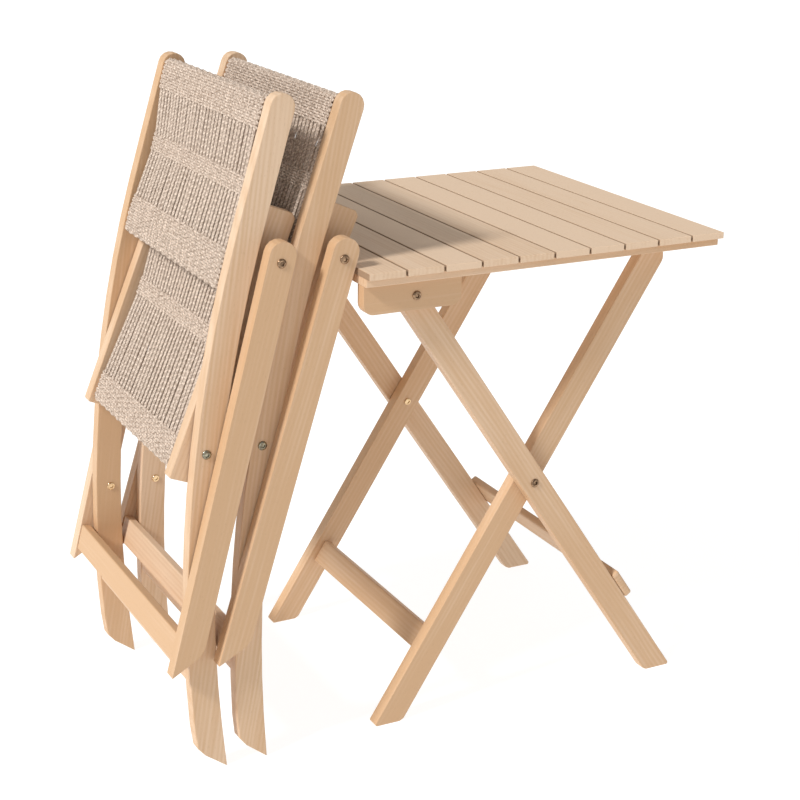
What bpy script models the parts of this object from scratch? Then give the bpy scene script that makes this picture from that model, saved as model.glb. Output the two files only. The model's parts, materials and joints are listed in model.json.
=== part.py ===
"""Patio dining set: a folding slatted table, and two folding chairs leaned against its left edge.

Metres, +Z up.  +X runs along the table's front edge from the chairs' side to the far side,
+Y runs along the slats.  Positions are first laid out from the table's front left corner, and
the whole set is shifted at the end so that the origin lies under the middle of its box.
"""

from math import asin, atan2, cos, hypot, pi, radians, sin

import bmesh
import bpy
from mathutils import Matrix, Vector

GAP = 0.0003                 # clearance between faces that touch
EDGE = 0.0012                # rounding of the sawn edges
STRETCHER_EDGE = 0.002
BOARD_EDGE = 0.004
BAR_EDGE = 0.003

# ---- table ----
SLAT_COUNT = 10
SLAT_PITCH = 0.060
SLAT_WIDTH = 0.0572
SLAT_LENGTH = 0.555
SLAT_THICK = 0.010
TABLE_HEIGHT = 0.742
BATTEN_INSET = 0.012         # from the slats' ends
BATTEN_WIDTH = 0.077
BATTEN_THICK = 0.0125
BATTEN_SHORT = 0.002         # shorter than the row of slats
BLOCK_THICK = 0.0195
BLOCK_DEPTH = 0.043
BLOCK_START = 0.002
BLOCK_END = 0.157
BLOCK_CORNER = 0.016
BLOCK_INSET = 0.022
LEG_WIDTH = 0.0416
LEG_THICK = 0.0212
LEG_FOOT_TRIM = 0.0045       # taken off both tips of a foot
LEG_SPACE = 0.0015           # washer gap between boards that turn on each other
TOP_PIVOT = (0.085, 0.6972)
CROSS_PIVOT = (0.3046, 0.3689)
OUTER_FOOT_X = 0.5545        # where the legs' centre lines meet the floor
INNER_FOOT_X = 0.0688
INNER_HEAD_REACH = 0.3900    # from the crossing to the middle of the round head
TABLE_STRETCHER_WIDTH = 0.040
TABLE_STRETCHER_THICK = 0.018
INNER_STRETCHER_UP = 0.1385   # along the leg, above the floor
INNER_STRETCHER_RIGHT = 0.001
OUTER_STRETCHER_UP = 0.180
OUTER_STRETCHER_WIDTH = 0.052
OUTER_STRETCHER_THICK = 0.014

# ---- chair, in its side plane, measured from the heel it stands on ----
CHAIR_FRONT_Y = 0.0345       # outer face of the nearer rear leg
BOARD = 0.022                # thickness of posts, rails and rear legs
POST_SPACE = 0.0025
CHAIR_WIDTH = 0.486
POST_FOOT = (-0.0260, 0.050)     # centre line of the post, where its curve starts
POST_LEAN_LOW = radians(-5.1)
POST_LEAN_HIGH = radians(16.7)
POST_CURVE_RISE = 0.750
POST_TOP = 0.9685            # height of the centre of the post's round tip
POST_WIDTH_TOP = 0.037
POST_WIDTH_FOOT = 0.043
POST_STEPS = 16              # straight pieces in each long curved edge
POST_LAST_CUT = 0.012        # height of the last of them
FOOT_CUT = radians(36.5)
TOE_TRIM = 0.009
TOE_RISE = 0.014             # from the toe to where its trim ends, and
TOE_CLEAR = 0.020            # to where the long edge starts
TIP_TRIM = 0.001
SEAT_PIVOT = (-0.0197, 0.4945)
FRONT_PIVOT = (0.0859, 0.7618)
RAIL_BEHIND_PIVOT = 0.051
RAIL_PAST_FRONT = 0.066
RAIL_LEFT_REAR = 0.0305      # from the line of the pivots to the sitting edge
RAIL_LEFT_FRONT = 0.0270
RAIL_RIGHT = 0.0215
RAIL_TRIMS = (0.002, 0.005, 0.006, 0.003)    # rear left, front left, front right, rear right
REAR_LEG_SLOPE = 0.263
REAR_LEG_WIDTH = 0.0405
REAR_LEG_PAST_PIVOT = 0.0100
REAR_FOOT_HEIGHT = 0.1690
REAR_FOOT_CUT = radians(30.0)
BAR_WIDTH = 0.032
BAR_THICK = 0.016
WEAVE_THICK = 0.0245
WEAVE_WRAP = 0.0042          # cord round the outside of a bar
TUNNEL_OVERRUN = 1.2
TOP_BAR_DROP = 0.011         # below the centre of the post's round tip
BACK_WEAVE_LEFT = 0.007      # from the middle of the post towards the sitter
BACK_WEAVE_LENGTH = 0.272
SEAT_WEAVE_START = 0.008     # from the rear end of the seat rails
SEAT_WEAVE_END = 0.397
SEAT_WEAVE_LEFT = 0.0155     # from the line of the pivots
REAR_BOARD_WIDTH = 0.041
REAR_BOARD_UP = 0.020        # clear of the slanting foot
REAR_BOARD_THICK = 0.0150
REAR_BOARD_INSET = 0.0015    # behind the legs' rear edges
POST_BOARD_WIDTH = 0.040
POST_BOARD_THICK = 0.018
POST_BOARD_HEIGHT = 0.163
POST_BOARD_INSET = 0.001

CHAIR_1_HEEL = -0.2012
CHAIR_2_HEEL = -0.1375
CHAIR_2_EXTRA_LEAN = radians(2.3)

# ---- bolts ----
BOLT_HEAD = 0.0068
BOLT_HEAD_HIGH = 0.0024
BOLT_RIM_SHARE = 0.35        # height of the head's rim, of the whole head
BOLT_SHANK = 0.0030
BOLT_BLIND = 0.008           # wood left past the end of a bolt
DRILL_START = 0.001          # in front of the face a bore goes into

parts = None
cutters = None


def clear_scene():
    """Remove what a new Blender file holds."""
    for obj in list(bpy.data.objects):
        bpy.data.objects.remove(obj, do_unlink=True)


def new_collection(name):
    """Make a collection in the scene."""
    made = bpy.data.collections.new(name)
    bpy.context.scene.collection.children.link(made)
    return made


def finish_material(name, colour, roughness, metallic=0.0):
    """Make a plain Principled finish."""
    made = bpy.data.materials.new(name)
    made.use_nodes = True
    shader = made.node_tree.nodes["Principled BSDF"]
    shader.inputs["Base Color"].default_value = (*colour, 1.0)
    shader.inputs["Roughness"].default_value = roughness
    shader.inputs["Metallic"].default_value = metallic
    return made


def beech(name):
    """Each wooden piece has its own natural beech finish."""
    return finish_material("beech_" + name, (0.62, 0.40, 0.23), 0.55)


def brass(name):
    """Each bolt has its own antique brass finish."""
    return finish_material("brass_" + name, (0.42, 0.27, 0.12), 0.35, 1.0)


def cord_finish(name):
    """Each woven panel has its own speckled cord finish."""
    return finish_material("cord_" + name, (0.50, 0.41, 0.31), 0.85)


def soften(obj, width=EDGE, segments=2):
    """Round the sawn edges a little."""
    bevel = obj.modifiers.new("soft_edges", "BEVEL")
    bevel.width = width
    bevel.segments = segments
    bevel.limit_method = "ANGLE"
    bevel.angle_limit = radians(35)


def as_mesh(curve_object, name):
    """Turn a filled curve into a mesh whose caps are welded to its sides."""
    bpy.context.view_layer.update()
    evaluated = curve_object.evaluated_get(bpy.context.evaluated_depsgraph_get())
    mesh = bpy.data.meshes.new_from_object(evaluated)
    work = bmesh.new()
    work.from_mesh(mesh)
    bmesh.ops.remove_doubles(work, verts=work.verts, dist=0.00002)
    bmesh.ops.recalc_face_normals(work, faces=work.faces)
    work.to_mesh(mesh)
    work.free()
    made = bpy.data.objects.new(name, mesh)
    made.matrix_world = curve_object.matrix_world.copy()
    curve = curve_object.data
    bpy.data.objects.remove(curve_object, do_unlink=True)
    bpy.data.curves.remove(curve)
    return made


def side_board(name, outline, y_low, y_high, material, parent=None):
    """Cut a board from an outline in the side plane (x, z), between two y planes."""
    curve = bpy.data.curves.new(name + "_outline", "CURVE")
    curve.dimensions = "2D"
    curve.fill_mode = "BOTH"
    curve.extrude = (y_high - y_low) / 2
    spline = curve.splines.new("POLY")
    spline.points.add(len(outline) - 1)
    for point, (x, z) in zip(spline.points, outline):
        point.co = (x, z, 0.0, 1.0)
    spline.use_cyclic_u = True
    drawn = bpy.data.objects.new(name + "_drawn", curve)
    parts.objects.link(drawn)
    upright = Matrix.Translation((0.0, (y_low + y_high) / 2, 0.0)) @ Matrix.Rotation(pi / 2, 4, "X")
    drawn.matrix_world = upright
    made = as_mesh(drawn, name)
    parts.objects.link(made)
    made.data.materials.clear()
    made.data.materials.append(material)
    if parent is not None:
        made.parent = parent
        made.matrix_local = upright
    soften(made)
    return made


def box(name, size, centre, material, parent=None, lean=0.0, edge=EDGE, segments=2):
    """A sawn board: a cube primitive, scaled, turned by its lean and softened at its edges."""
    mesh = bpy.data.meshes.new(name)
    work = bmesh.new()
    bmesh.ops.create_cube(work, size=1.0)
    bmesh.ops.scale(work, vec=Vector(size), verts=work.verts)
    work.to_mesh(mesh)
    work.free()
    made = bpy.data.objects.new(name, mesh)
    parts.objects.link(made)
    mesh.materials.append(material)
    if parent is not None:
        made.parent = parent
    made.location = centre
    made.rotation_euler = (0.0, lean, 0.0)
    if edge:
        soften(made, edge, segments)
    return made


def bore(boards, x, z, y_low, y_high, radius, parent=None):
    """Drill one round hole along Y through each of the boards."""
    mesh = bpy.data.meshes.new("drill")
    work = bmesh.new()
    bmesh.ops.create_cone(work, cap_ends=True, segments=20, radius1=radius, radius2=radius,
                          depth=y_high - y_low)
    work.to_mesh(mesh)
    work.free()
    drill = bpy.data.objects.new("drill", mesh)
    cutters.objects.link(drill)
    drill.parent = parent
    drill.location = (x, (y_low + y_high) / 2, z)
    drill.rotation_euler = (pi / 2, 0.0, 0.0)
    drill.hide_render = True
    drill.display_type = "WIRE"
    for board in boards:
        cut = board.modifiers.new("bolt_hole", "BOOLEAN")
        cut.operation = "DIFFERENCE"
        cut.solver = "EXACT"
        cut.object = drill


def bolt(name, x, z, y_face, y_end, parent=None):
    """A turned bolt along Y: a low domed head on y_face, and a shank that ends at y_end."""
    inward = 1.0 if y_end > y_face else -1.0
    length = abs(y_end - y_face)
    swell = 1 - BOLT_RIM_SHARE
    dome = [(BOLT_HEAD * cos(a), BOLT_HEAD_HIGH * (BOLT_RIM_SHARE + swell * sin(a)))
            for a in (radians(step) for step in (0, 30, 60))]
    profile = [(0.0, BOLT_HEAD_HIGH)] + dome[::-1]
    profile += [(BOLT_HEAD, GAP), (BOLT_SHANK, GAP), (BOLT_SHANK, -length), (0.0, -length)]
    mesh = bpy.data.meshes.new(name)
    mesh.from_pydata([(r, 0.0, h) for r, h in profile],
                     [(i, i + 1) for i in range(len(profile) - 1)], [])
    made = bpy.data.objects.new(name, mesh)
    parts.objects.link(made)
    mesh.materials.append(brass(name))
    turn = made.modifiers.new("turned", "SCREW")
    turn.axis = "Z"
    turn.steps = 20
    turn.render_steps = 20
    turn.use_merge_vertices = True
    turn.merge_threshold = 0.00001
    if parent is not None:
        made.parent = parent
    made.location = (x, y_face, z)
    made.rotation_euler = (inward * pi / 2, 0.0, 0.0)
    return made


def along(start, end):
    """Unit direction from start to end in the side plane."""
    length = hypot(end[0] - start[0], end[1] - start[1])
    return ((end[0] - start[0]) / length, (end[1] - start[1]) / length)


def offset(point, direction, forward, right):
    """The point moved forward along a direction and to its right-hand side."""
    return (point[0] + direction[0] * forward + direction[1] * right,
            point[1] + direction[1] * forward - direction[0] * right)


def round_end(centre, direction, radius, steps=8):
    """Half circle from the left of a direction over the tip to its right."""
    heading = atan2(direction[1], direction[0])
    return [(centre[0] + radius * cos(heading + pi / 2 - pi * i / steps),
             centre[1] + radius * sin(heading + pi / 2 - pi * i / steps)) for i in range(steps + 1)]


def corner_cut(corner, before, after, size):
    """Two points that take the sharp tip off a corner."""
    back = along(corner, before)
    ahead = along(corner, after)
    return [offset(corner, back, size, 0.0), offset(corner, ahead, size, 0.0)]


def table_leg_outline(foot_x, through, head_reach):
    """A straight leg: a round head, and a foot sawn level with the floor."""
    axis = along((foot_x, 0.0), through)
    half = LEG_WIDTH / 2
    head = offset(through, axis, head_reach, 0.0)
    spread = half / axis[1]
    left_foot = (foot_x - spread, 0.0)
    right_foot = (foot_x + spread, 0.0)
    outline = round_end(head, axis, half)
    outline += corner_cut(right_foot, offset(head, axis, 0.0, half), left_foot, LEG_FOOT_TRIM)
    outline += corner_cut(left_foot, right_foot, offset(head, axis, 0.0, -half), LEG_FOOT_TRIM)
    return outline, axis, head


def build_table():
    """Ten slats on two battens, carried by two crossing pairs of legs."""
    top_under = TABLE_HEIGHT - SLAT_THICK
    for number in range(SLAT_COUNT):
        name = "table_slat_%02d" % (number + 1)
        centre = (number * SLAT_PITCH + SLAT_WIDTH / 2, SLAT_LENGTH / 2, TABLE_HEIGHT - SLAT_THICK / 2)
        box(name, (SLAT_WIDTH, SLAT_LENGTH, SLAT_THICK), centre, beech(name))
    span = (SLAT_COUNT - 1) * SLAT_PITCH + SLAT_WIDTH
    batten_top = top_under - GAP
    batten_under = batten_top - BATTEN_THICK
    hx, hz = TOP_PIVOT
    cx, cz = CROSS_PIVOT
    outer_reach = hypot(hx - cx, hz - cz)
    outer_outline, outer_axis, _ = table_leg_outline(OUTER_FOOT_X, CROSS_PIVOT, outer_reach)
    inner_outline, inner_axis, _ = table_leg_outline(INNER_FOOT_X, CROSS_PIVOT, INNER_HEAD_REACH)
    outer_y = BLOCK_INSET + BLOCK_THICK + LEG_SPACE
    inner_y = outer_y + LEG_THICK + LEG_SPACE
    corner = BLOCK_CORNER
    block_top = batten_under - GAP
    block_low = block_top - BLOCK_DEPTH
    arc = [radians(15 * step) for step in range(7)]
    block = [(BLOCK_START, block_top), (BLOCK_END, block_top)]
    block += [(BLOCK_END - corner + corner * cos(a), block_low + corner - corner * sin(a)) for a in arc]
    block += [(BLOCK_START + corner - corner * sin(a), block_low + corner - corner * cos(a)) for a in arc]

    def mirrored(y_low, y_high, side):
        """The two planes of a near board, or of its twin on the far side."""
        if side == "near":
            return y_low, y_high
        return SLAT_LENGTH - y_high, SLAT_LENGTH - y_low

    for side in ("near", "far"):
        name = "table_batten_" + side
        low, high = mirrored(BATTEN_INSET, BATTEN_INSET + BATTEN_WIDTH, side)
        box(name, (span - BATTEN_SHORT, high - low, BATTEN_THICK),
            (span / 2, (low + high) / 2, batten_top - BATTEN_THICK / 2), beech(name))
        name = "table_bracket_" + side
        low, high = mirrored(BLOCK_INSET, BLOCK_INSET + BLOCK_THICK, side)
        bracket = side_board(name, block, low, high, beech(name))
        name = "table_outer_leg_" + side
        low, high = mirrored(outer_y, outer_y + LEG_THICK, side)
        outer = side_board(name, outer_outline, low, high, beech(name))
        name = "table_inner_leg_" + side
        low, high = mirrored(inner_y, inner_y + LEG_THICK, side)
        inner = side_board(name, inner_outline, low, high, beech(name))
        face, end = (BLOCK_INSET, outer_y + LEG_THICK - BOLT_BLIND)
        sign = 1.0
        if side == "far":
            face, end = (SLAT_LENGTH - face, SLAT_LENGTH - end)
            sign = -1.0
        bolt("table_top_bolt_" + side, hx, hz, face, end)
        low, high = sorted((face - sign * DRILL_START, end + sign * GAP))
        bore((bracket, outer), hx, hz, low, high, BOLT_SHANK + GAP)
        face, end = (outer_y, inner_y + LEG_THICK - BOLT_BLIND)
        if side == "far":
            face, end = (SLAT_LENGTH - face, SLAT_LENGTH - end)
        bolt("table_cross_bolt_" + side, cx, cz, face, end)
        low, high = sorted((face - sign * DRILL_START, end + sign * GAP))
        bore((outer, inner), cx, cz, low, high, BOLT_SHANK + GAP)

    inner_clear = inner_y + LEG_THICK + GAP
    reach = INNER_STRETCHER_UP
    middle = offset((INNER_FOOT_X, 0.0), inner_axis, reach, INNER_STRETCHER_RIGHT)
    box("table_inner_stretcher", (TABLE_STRETCHER_THICK, SLAT_LENGTH - 2 * inner_clear, TABLE_STRETCHER_WIDTH),
        (middle[0], SLAT_LENGTH / 2, middle[1]), beech("table_inner_stretcher"),
        lean=atan2(inner_axis[0], inner_axis[1]), edge=STRETCHER_EDGE)
    aside = LEG_WIDTH / 2 + OUTER_STRETCHER_THICK / 2 + GAP
    middle = offset((OUTER_FOOT_X, 0.0), outer_axis, OUTER_STRETCHER_UP, aside)
    box("table_outer_stretcher", (OUTER_STRETCHER_THICK, SLAT_LENGTH - 2 * outer_y, OUTER_STRETCHER_WIDTH),
        (middle[0], SLAT_LENGTH / 2, middle[1]), beech("table_outer_stretcher"),
        lean=atan2(outer_axis[0], outer_axis[1]), edge=BOARD_EDGE, segments=3)


def post_curve_radius():
    """Radius of the long bend in the back posts."""
    return POST_CURVE_RISE / (sin(POST_LEAN_HIGH) - sin(POST_LEAN_LOW))


def post_centre(height):
    """Centre of the post (x) and its lean, at a height above the floor."""
    radius = post_curve_radius()
    x0, z0 = POST_FOOT
    if height < z0:
        return x0 + (height - z0) * sin(POST_LEAN_LOW) / cos(POST_LEAN_LOW), POST_LEAN_LOW
    if height < z0 + POST_CURVE_RISE:
        lean = asin(sin(POST_LEAN_LOW) + (height - z0) / radius)
        return x0 + radius * (cos(POST_LEAN_LOW) - cos(lean)), lean
    x_end = x0 + radius * (cos(POST_LEAN_LOW) - cos(POST_LEAN_HIGH))
    rise = height - z0 - POST_CURVE_RISE
    return x_end + rise * sin(POST_LEAN_HIGH) / cos(POST_LEAN_HIGH), POST_LEAN_HIGH


def post_half(height):
    """The post is a little wider at the foot than at the tip."""
    share = height / POST_TOP
    return (POST_WIDTH_FOOT + (POST_WIDTH_TOP - POST_WIDTH_FOOT) * share) / 2


def post_point(height, right):
    """A point beside the post's centre line, right of it (or left, when negative)."""
    x, lean = post_centre(height)
    return (x + right * cos(lean), height - right * sin(lean))


def post_outline():
    """The bent post: a round tip, two long curved edges, and a foot sawn aslant."""
    tip_x, tip_lean = post_centre(POST_TOP)
    outline = round_end((tip_x, POST_TOP), (sin(tip_lean), cos(tip_lean)), post_half(POST_TOP))
    shares = [step / POST_STEPS for step in range(1, POST_STEPS + 1)]
    heights = [POST_TOP * (1 - share) + POST_LAST_CUT * share for share in shares]
    outline += [post_point(h, post_half(h)) for h in heights]
    heel = (0.0, 0.0)
    width = POST_WIDTH_FOOT / cos(FOOT_CUT + POST_LEAN_LOW)
    toe = (heel[0] - width * cos(FOOT_CUT), heel[1] + width * sin(FOOT_CUT))
    above = post_point(toe[1] + TOE_RISE, -post_half(toe[1]))
    outline += [heel]
    outline += corner_cut(toe, heel, above, TOE_TRIM)
    outline += [post_point(h, -post_half(h)) for h in reversed(heights) if h > toe[1] + TOE_CLEAR]
    return outline


def build_chair(number, heel_x, extra_lean):
    """One folded chair, parented to an empty at the heel it stands on."""
    prefix = "chair_%d_" % number
    stand = bpy.data.objects.new(prefix + "stand", None)
    parts.objects.link(stand)
    stand.location = (heel_x, 0.0, 0.0)
    stand.rotation_euler = (0.0, extra_lean, 0.0)
    y0 = CHAIR_FRONT_Y
    layers = {"rear_leg": y0, "post": y0 + BOARD + POST_SPACE, "rail": y0 + 2 * (BOARD + POST_SPACE)}

    def place(layer, side):
        """The two planes of a layer's board on that side."""
        low = layers[layer]
        if side == "near":
            return low, low + BOARD
        far = 2 * y0 + CHAIR_WIDTH
        return far - low - BOARD, far - low

    def between(layer):
        """The clear space between a layer's two boards."""
        clear = layers[layer] + BOARD + GAP
        return clear, 2 * y0 + CHAIR_WIDTH - clear

    outline = post_outline()
    posts = {}
    for side in ("near", "far"):
        name = prefix + "post_" + side
        posts[side] = side_board(name, outline, *place("post", side), beech(name), stand)

    low, high = between("post")
    middle = (low + high) / 2
    length = high - low
    top_height = POST_TOP - TOP_BAR_DROP
    top = post_point(top_height, -BACK_WEAVE_LEFT)
    reach = BACK_WEAVE_LENGTH - BAR_WIDTH - 2 * WEAVE_WRAP
    bottom = post_point(top_height - reach * cos(POST_LEAN_HIGH), -BACK_WEAVE_LEFT)
    back_axis = along(bottom, top)
    back_lean = atan2(back_axis[0], back_axis[1])
    name = prefix + "top_bar"
    box(name, (BAR_THICK, length, BAR_WIDTH), (top[0], middle, top[1]), beech(name), stand,
        POST_LEAN_HIGH, BAR_EDGE)
    name = prefix + "lower_back_bar"
    box(name, (BAR_THICK, length, BAR_WIDTH), (bottom[0], middle, bottom[1]), beech(name), stand,
        back_lean, BAR_EDGE)
    centre = ((top[0] + bottom[0]) / 2, middle, (top[1] + bottom[1]) / 2)
    weave_panel(prefix + "back_weave", length, BACK_WEAVE_LENGTH, centre, back_lean, stand)
    name = prefix + "post_stretcher"
    low_lean = post_centre(POST_BOARD_HEIGHT)[1]
    aside = -post_half(POST_BOARD_HEIGHT) + POST_BOARD_THICK / 2 + POST_BOARD_INSET
    x, z = post_point(POST_BOARD_HEIGHT, aside)
    box(name, (POST_BOARD_THICK, length, POST_BOARD_WIDTH), (x, middle, z), beech(name), stand,
        low_lean, STRETCHER_EDGE)

    axis = along(SEAT_PIVOT, FRONT_PIVOT)
    seat_lean = atan2(axis[0], axis[1])
    front_reach = hypot(FRONT_PIVOT[0] - SEAT_PIVOT[0], FRONT_PIVOT[1] - SEAT_PIVOT[1]) + RAIL_PAST_FRONT
    rail = []
    corners = [offset(SEAT_PIVOT, axis, -RAIL_BEHIND_PIVOT, -RAIL_LEFT_REAR),
               offset(SEAT_PIVOT, axis, front_reach, -RAIL_LEFT_FRONT),
               offset(SEAT_PIVOT, axis, front_reach, RAIL_RIGHT),
               offset(SEAT_PIVOT, axis, -RAIL_BEHIND_PIVOT, RAIL_RIGHT)]
    for turn, (corner, trim) in enumerate(zip(corners, RAIL_TRIMS)):
        rail += corner_cut(corner, corners[turn - 1], corners[(turn + 1) % len(corners)], trim)
    rails = {}
    for side in ("near", "far"):
        name = prefix + "seat_rail_" + side
        rails[side] = side_board(name, rail, *place("rail", side), beech(name), stand)
        face = place("post", side)[0 if side == "near" else 1]
        sign = 1.0 if side == "near" else -1.0
        end = face + sign * (2 * BOARD + POST_SPACE - BOLT_BLIND)
        bolt(prefix + "seat_bolt_" + side, *SEAT_PIVOT, face, end, stand)
        low_y, high_y = sorted((face - sign * DRILL_START, end + sign * GAP))
        bore((posts[side], rails[side]), *SEAT_PIVOT, low_y, high_y, BOLT_SHANK + GAP, stand)
    low, high = between("rail")
    middle = (low + high) / 2
    length = high - low
    inset = WEAVE_WRAP + BAR_WIDTH / 2
    rail_end = offset(SEAT_PIVOT, axis, -RAIL_BEHIND_PIVOT, -SEAT_WEAVE_LEFT)
    for name, reach in ((prefix + "seat_rear_bar", SEAT_WEAVE_START + inset),
                        (prefix + "seat_front_bar", SEAT_WEAVE_END - inset)):
        x, z = offset(rail_end, axis, reach, 0.0)
        box(name, (BAR_THICK, length, BAR_WIDTH), (x, middle, z), beech(name), stand, seat_lean, BAR_EDGE)
    x, z = offset(rail_end, axis, (SEAT_WEAVE_START + SEAT_WEAVE_END) / 2, 0.0)
    weave_panel(prefix + "seat_weave", length, SEAT_WEAVE_END - SEAT_WEAVE_START, (x, middle, z),
                seat_lean, stand)

    leg_axis = along((0.0, 0.0), (REAR_LEG_SLOPE, 1.0))
    half = REAR_LEG_WIDTH / 2
    head = offset(FRONT_PIVOT, leg_axis, REAR_LEG_PAST_PIVOT, 0.0)
    back_edge = offset(head, leg_axis, 0.0, -half)
    down = (head[1] - REAR_FOOT_HEIGHT) / leg_axis[1]
    tip = offset(head, leg_axis, -down, -half)
    width = REAR_LEG_WIDTH / cos(REAR_FOOT_CUT + atan2(leg_axis[0], leg_axis[1]))
    toe = (tip[0] + width * cos(REAR_FOOT_CUT), tip[1] + width * sin(REAR_FOOT_CUT))
    outline = round_end(head, leg_axis, half)
    outline += corner_cut(toe, offset(head, leg_axis, 0.0, half), tip, TOE_TRIM)
    outline += corner_cut(tip, toe, back_edge, TIP_TRIM)
    for side in ("near", "far"):
        name = prefix + "rear_leg_" + side
        leg = side_board(name, outline, *place("rear_leg", side), beech(name), stand)
        face = place("rear_leg", side)[0 if side == "near" else 1]
        sign = 1.0 if side == "near" else -1.0
        end = face + sign * (3 * BOARD + 2 * POST_SPACE - BOLT_BLIND)
        bolt(prefix + "front_bolt_" + side, *FRONT_PIVOT, face, end, stand)
        low_y, high_y = sorted((face - sign * DRILL_START, end + sign * GAP))
        bore((leg, rails[side]), *FRONT_PIVOT, low_y, high_y, BOLT_SHANK + GAP, stand)
    low, high = between("rear_leg")
    name = prefix + "rear_leg_board"
    aside = REAR_BOARD_THICK / 2 + REAR_BOARD_INSET
    x, z = offset(tip, leg_axis, REAR_BOARD_UP + REAR_BOARD_WIDTH / 2, aside)
    box(name, (REAR_BOARD_THICK, high - low, REAR_BOARD_WIDTH), (x, (low + high) / 2, z), beech(name),
        stand, atan2(leg_axis[0], leg_axis[1]), STRETCHER_EDGE)


def weave_panel(name, width, length, centre, lean, parent):
    """The body of wound cord: a slab with rounded edges and an open tunnel round each bar."""
    slab = box(name, (WEAVE_THICK, width, length), centre, cord_finish(name), parent, lean, 0.0)
    for end in (-1, 1):
        mesh = bpy.data.meshes.new(name + "_tunnel")
        work = bmesh.new()
        bmesh.ops.create_cube(work, size=1.0)
        size = (BAR_THICK + 2 * GAP, width * TUNNEL_OVERRUN, BAR_WIDTH + 2 * GAP)
        bmesh.ops.scale(work, vec=Vector(size), verts=work.verts)
        work.to_mesh(mesh)
        work.free()
        tunnel = bpy.data.objects.new(name + "_tunnel", mesh)
        cutters.objects.link(tunnel)
        tunnel.parent = parent
        shift = end * (length / 2 - WEAVE_WRAP - BAR_WIDTH / 2)
        tunnel.location = (centre[0] + shift * sin(lean), centre[1], centre[2] + shift * cos(lean))
        tunnel.rotation_euler = (0.0, lean, 0.0)
        tunnel.hide_render = True
        tunnel.display_type = "WIRE"
        cut = slab.modifiers.new("bar_tunnel", "BOOLEAN")
        cut.operation = "DIFFERENCE"
        cut.solver = "EXACT"
        cut.object = tunnel
    return slab


def shift_to_centre():
    """Move the whole set so that the origin is under the middle of its box."""
    bpy.context.view_layer.update()
    graph = bpy.context.evaluated_depsgraph_get()
    points = []
    for obj in parts.objects:
        if obj.type == "MESH":
            shape = obj.evaluated_get(graph)
            points += [shape.matrix_world @ vertex.co for vertex in shape.data.vertices]
    low = [min(p[i] for p in points) for i in range(3)]
    high = [max(p[i] for p in points) for i in range(3)]
    move = Vector((-(low[0] + high[0]) / 2, -(low[1] + high[1]) / 2, -low[2]))
    for group in (parts, cutters):
        for obj in group.objects:
            if obj.parent is None:
                obj.location = obj.location + move
    bpy.context.view_layer.update()
    print("shift", tuple(round(value, 6) for value in move))
    print("size", [round(high[i] - low[i], 5) for i in range(3)])


clear_scene()
parts = new_collection("patio_dining_set")
cutters = new_collection("cutters")
build_table()
build_chair(1, CHAIR_1_HEEL, 0.0)
build_chair(2, CHAIR_2_HEEL, CHAIR_2_EXTRA_LEAN)
shift_to_centre()
print("nodes", sum(1 for obj in parts.objects if obj.type == "MESH"))
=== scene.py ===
# %% [markdown]
# # A folding table with two folding chairs
#
# The set is made of pale beech boards, brass bolts and woven cord. Its boards and joints come
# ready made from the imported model, so this lesson adds what that model leaves plain: the grain
# of each board, the cord of the seats and backs, and the metal of the bolts. The chairs are
# folded flat and lean side by side on the left edge of the open table.

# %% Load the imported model
import json
import math

import bmesh
import bpy
import numpy as np
from mathutils import Matrix, Vector

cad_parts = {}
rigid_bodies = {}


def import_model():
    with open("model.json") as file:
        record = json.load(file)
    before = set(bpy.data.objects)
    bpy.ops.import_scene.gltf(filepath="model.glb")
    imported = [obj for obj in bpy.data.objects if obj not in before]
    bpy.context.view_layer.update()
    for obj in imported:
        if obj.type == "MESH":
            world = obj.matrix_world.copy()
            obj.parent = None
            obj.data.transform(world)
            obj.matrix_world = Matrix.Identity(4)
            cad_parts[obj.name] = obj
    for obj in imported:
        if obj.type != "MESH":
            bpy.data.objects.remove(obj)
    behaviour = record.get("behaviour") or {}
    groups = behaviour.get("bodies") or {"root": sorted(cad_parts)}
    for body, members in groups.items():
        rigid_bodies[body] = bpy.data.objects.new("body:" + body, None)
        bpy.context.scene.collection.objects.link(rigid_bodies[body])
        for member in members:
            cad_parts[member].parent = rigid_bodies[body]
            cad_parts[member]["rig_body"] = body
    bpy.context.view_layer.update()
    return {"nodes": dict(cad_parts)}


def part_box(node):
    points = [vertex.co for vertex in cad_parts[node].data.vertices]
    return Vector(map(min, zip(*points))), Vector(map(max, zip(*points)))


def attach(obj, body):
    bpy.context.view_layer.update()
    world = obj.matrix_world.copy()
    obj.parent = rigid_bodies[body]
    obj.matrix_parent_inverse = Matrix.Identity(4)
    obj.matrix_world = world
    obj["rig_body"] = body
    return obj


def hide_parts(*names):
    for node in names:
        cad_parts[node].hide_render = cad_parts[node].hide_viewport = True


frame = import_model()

scene = bpy.context.scene
nodes = frame["nodes"]

# %% [markdown]
# ## Camera
#
# A long lens from far away keeps the legs nearly parallel. The camera stands in front of the
# set and to its left, above the table top, and looks down at it. Heading, pitch and roll are
# easier to read than an Euler triple, so the three axes are built from those angles.

# %% Camera
CAMERA_PLACE = Vector((-1.195271, -2.39716, 1.36915))
CAMERA_HEADING = math.radians(27.2349)
CAMERA_PITCH = math.radians(18.8845)
CAMERA_ROLL = math.radians(0.6434)
CAMERA_LENS = 80.25
SENSOR_WIDE = 36


def camera_axes(heading, pitch, roll):
    """Matrix whose columns are the camera's right, up and backward directions."""
    flat = Vector((math.sin(heading), math.cos(heading), 0))
    forward = flat * math.cos(pitch) - Vector((0, 0, math.sin(pitch)))
    level = Vector((math.cos(heading), -math.sin(heading), 0))
    tilt = Matrix.Rotation(roll, 3, forward)
    right = tilt.inverted() @ level
    up = right.cross(forward)
    return Matrix((right, up, -forward)).transposed()


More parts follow.
